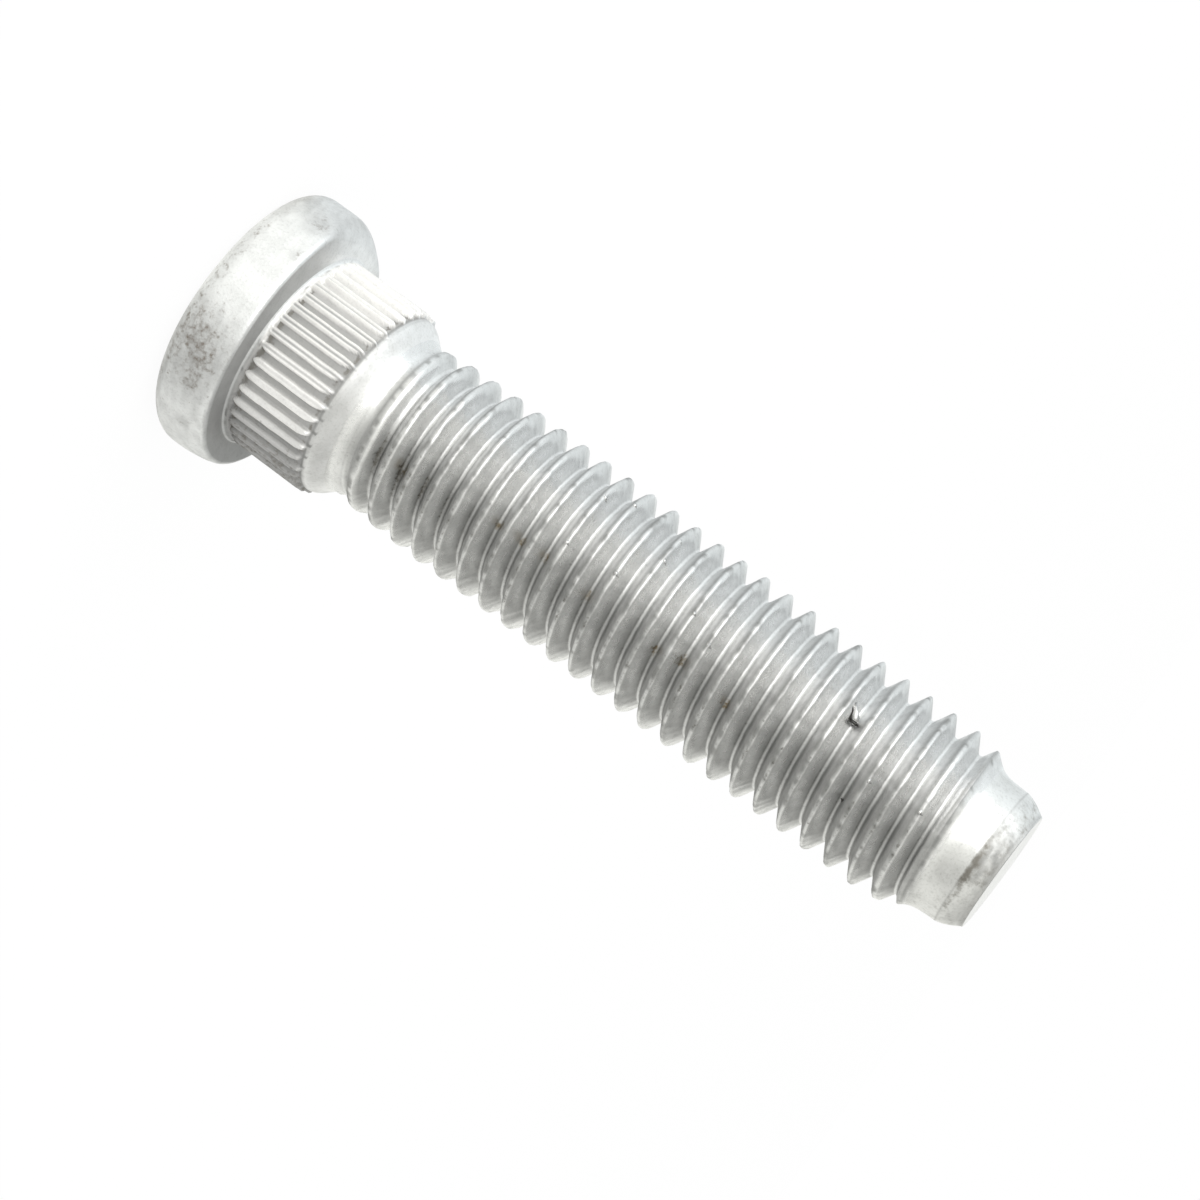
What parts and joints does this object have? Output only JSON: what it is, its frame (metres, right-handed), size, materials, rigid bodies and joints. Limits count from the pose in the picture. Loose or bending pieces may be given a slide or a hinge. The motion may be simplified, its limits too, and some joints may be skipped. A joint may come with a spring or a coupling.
{
  "type": "wheel stud",
  "caption": "Press-in wheel stud: round flat head, splined shank for the hub flange, right-hand coarse thread for the wheel nut and a plain dog point that leads the nut on.",
  "frame": {"origin": "on the stud's axis, in the plane of the seat under the head", "axes": "+Z along the axis from the head to the threaded end; X and Y are square to it, and the thread and the spline set their phase"},
  "size_m": [0.021, 0.021, 0.0677],
  "materials": {
    "zinc_plated_steel": "satin zinc plate on cold-formed steel"
  },
  "bodies": {
    "root": {"wheel_stud": "zinc_plated_steel"}
  },
  "joints": []
}
